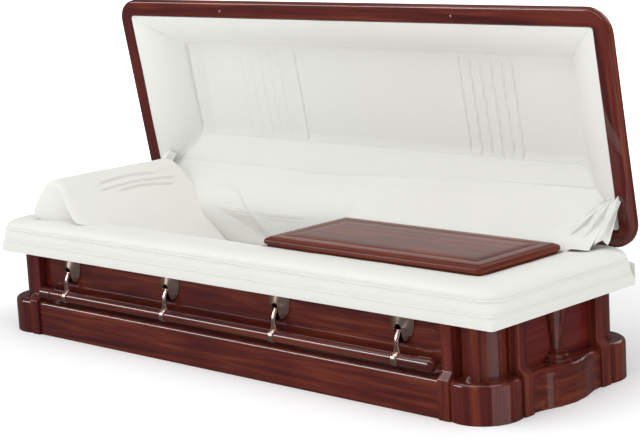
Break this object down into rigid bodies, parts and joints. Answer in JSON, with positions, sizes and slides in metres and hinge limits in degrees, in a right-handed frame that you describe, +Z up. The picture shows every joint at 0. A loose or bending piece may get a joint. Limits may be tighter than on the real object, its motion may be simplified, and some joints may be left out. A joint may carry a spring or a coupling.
{
  "type": "funeral casket",
  "caption": "Full-couch polished wooden casket with corner columns, swing-bar handles, a hinged lid and a white padded interior.",
  "frame": {"origin": "on the floor under the middle of the body, at the floor board's underside", "axes": "+X along the body towards the foot end, +Y towards the hinge side, +Z up"},
  "size_m": [2.184, 0.8213, 1.0728],
  "materials": {
    "body_wood": "high-gloss red-brown mahogany lacquer",
    "lid_wood": "high-gloss red-brown mahogany lacquer",
    "board_wood": "high-gloss mahogany lacquer with a banded border",
    "bar_wood": "high-gloss mahogany lacquer",
    "floor_wood": "plain sealed board",
    "handle_metal": "polished rose-copper plating",
    "hinge_metal": "satin plating",
    "lid_fabric": "off-white crepe, tucked",
    "apron_fabric": "off-white smooth crepe over padding",
    "lining_fabric": "off-white crepe",
    "bed_fabric": "off-white crepe over padding"
  },
  "bodies": {
    "casket": {"floor_board": "floor_wood", "front_panel": "body_wood", "back_panel": "body_wood", "head_panel": "body_wood", "foot_panel": "body_wood", "column_1": "body_wood", "column_2": "body_wood", "column_3": "body_wood", "column_4": "body_wood", "pilaster_1": "body_wood", "pilaster_2": "body_wood", "pilaster_3": "body_wood", "pilaster_4": "body_wood", "pilaster_5": "body_wood", "pilaster_6": "body_wood", "pilaster_7": "body_wood", "pilaster_8": "body_wood", "front_base_board": "body_wood", "back_base_board": "body_wood", "head_base_board": "body_wood", "foot_base_board": "body_wood", "top_rail": "body_wood", "head_vase": "body_wood", "foot_vase": "body_wood", "front_ear_1": "handle_metal", "front_ear_2": "handle_metal", "front_ear_3": "handle_metal", "front_ear_4": "handle_metal", "back_ear_1": "handle_metal", "back_ear_2": "handle_metal", "back_ear_3": "handle_metal", "back_ear_4": "handle_metal", "hinge_body_1": "hinge_metal", "hinge_body_2": "hinge_metal", "hinge_body_3": "hinge_metal", "apron": "apron_fabric", "body_lining": "lining_fabric", "mattress": "bed_fabric", "pillow": "bed_fabric", "foot_board": "board_wood"},
    "lid": {"lid_frame": "lid_wood", "lid_crown": "lid_wood", "lid_lining": "lid_fabric", "hinge_lid_1": "hinge_metal", "hinge_lid_2": "hinge_metal", "hinge_lid_3": "hinge_metal"},
    "front_handle": {"front_bar": "bar_wood", "front_arm_1": "handle_metal", "front_arm_2": "handle_metal", "front_arm_3": "handle_metal", "front_arm_4": "handle_metal", "front_cap_head": "bar_wood", "front_cap_foot": "bar_wood"},
    "back_handle": {"back_bar": "bar_wood", "back_arm_1": "handle_metal", "back_arm_2": "handle_metal", "back_arm_3": "handle_metal", "back_arm_4": "handle_metal", "back_cap_head": "bar_wood", "back_cap_foot": "bar_wood"}
  },
  "joints": [
    {"name": "lid_hinge", "type": "hinge", "parent": "casket", "child": "lid", "pos_m": [0, 0.3615, 0.351], "axis": [1, 0, 0], "range_deg": [0, 80.3], "deforming": ["pillow"]},
    {"name": "front_handle_swing", "type": "hinge", "parent": "casket", "child": "front_handle", "pos_m": [0, -0.3135, 0.223], "axis": [-1, 0, 0], "range_deg": [0, 70]},
    {"name": "back_handle_swing", "type": "hinge", "parent": "casket", "child": "back_handle", "pos_m": [0, 0.3135, 0.223], "axis": [1, 0, 0], "range_deg": [0, 70]}
  ]
}
